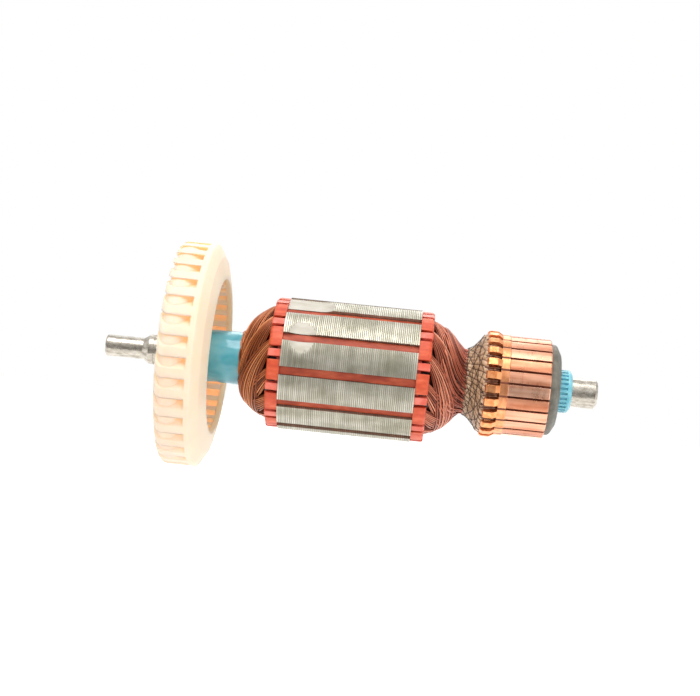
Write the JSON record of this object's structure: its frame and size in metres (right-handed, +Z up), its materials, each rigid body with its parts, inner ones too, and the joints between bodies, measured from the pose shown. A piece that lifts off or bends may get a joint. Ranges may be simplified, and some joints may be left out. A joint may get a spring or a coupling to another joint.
{
  "type": "motor armature",
  "caption": "Armature of a small brushed motor: shaft with a cooling fan, a slotted lamination core with its copper winding, and a hook commutator.",
  "frame": {"origin": "on the shaft axis, halfway along the drive end bearing seat", "axes": "+X along the shaft from the drive end to the commutator end, +Z up"},
  "size_m": [0.1327, 0.0604, 0.0604],
  "materials": {
    "shaft_steel": "ground",
    "sleeve_film": "glossy",
    "fan_moulding": "satin",
    "core_steel": "stacked sheet edges",
    "liner": "matt",
    "wedge": "satin",
    "insulator": "satin",
    "winding": "enamelled copper",
    "leads": "enamelled copper, varnished",
    "cord": "varnished thread",
    "commutator_copper": "turned copper",
    "phenolic": "matt",
    "ring_moulding": "satin"
  },
  "bodies": {
    "root": {"shaft": "shaft_steel", "shaft_sleeve": "sleeve_film", "fan": "fan_moulding", "core": "core_steel", "slot_liners": "liner", "slot_wedges": "wedge", "drive_end_insulator": "insulator", "commutator_end_insulator": "insulator", "lead_wires": "leads", "lacing_cord": "cord", "commutator_moulding": "phenolic", "ribbed_ring": "ring_moulding", "coil_1": "winding", "coil_2": "winding", "coil_3": "winding", "coil_4": "winding", "coil_5": "winding", "coil_6": "winding", "coil_7": "winding", "coil_8": "winding", "coil_9": "winding", "coil_10": "winding", "coil_11": "winding", "coil_12": "winding", "commutator_bar_1": "commutator_copper", "commutator_bar_2": "commutator_copper", "commutator_bar_3": "commutator_copper", "commutator_bar_4": "commutator_copper", "commutator_bar_5": "commutator_copper", "commutator_bar_6": "commutator_copper", "commutator_bar_7": "commutator_copper", "commutator_bar_8": "commutator_copper", "commutator_bar_9": "commutator_copper", "commutator_bar_10": "commutator_copper", "commutator_bar_11": "commutator_copper", "commutator_bar_12": "commutator_copper", "commutator_bar_13": "commutator_copper", "commutator_bar_14": "commutator_copper", "commutator_bar_15": "commutator_copper", "commutator_bar_16": "commutator_copper", "commutator_bar_17": "commutator_copper", "commutator_bar_18": "commutator_copper", "commutator_bar_19": "commutator_copper", "commutator_bar_20": "commutator_copper", "commutator_bar_21": "commutator_copper", "commutator_bar_22": "commutator_copper", "commutator_bar_23": "commutator_copper", "commutator_bar_24": "commutator_copper"}
  },
  "joints": []
}
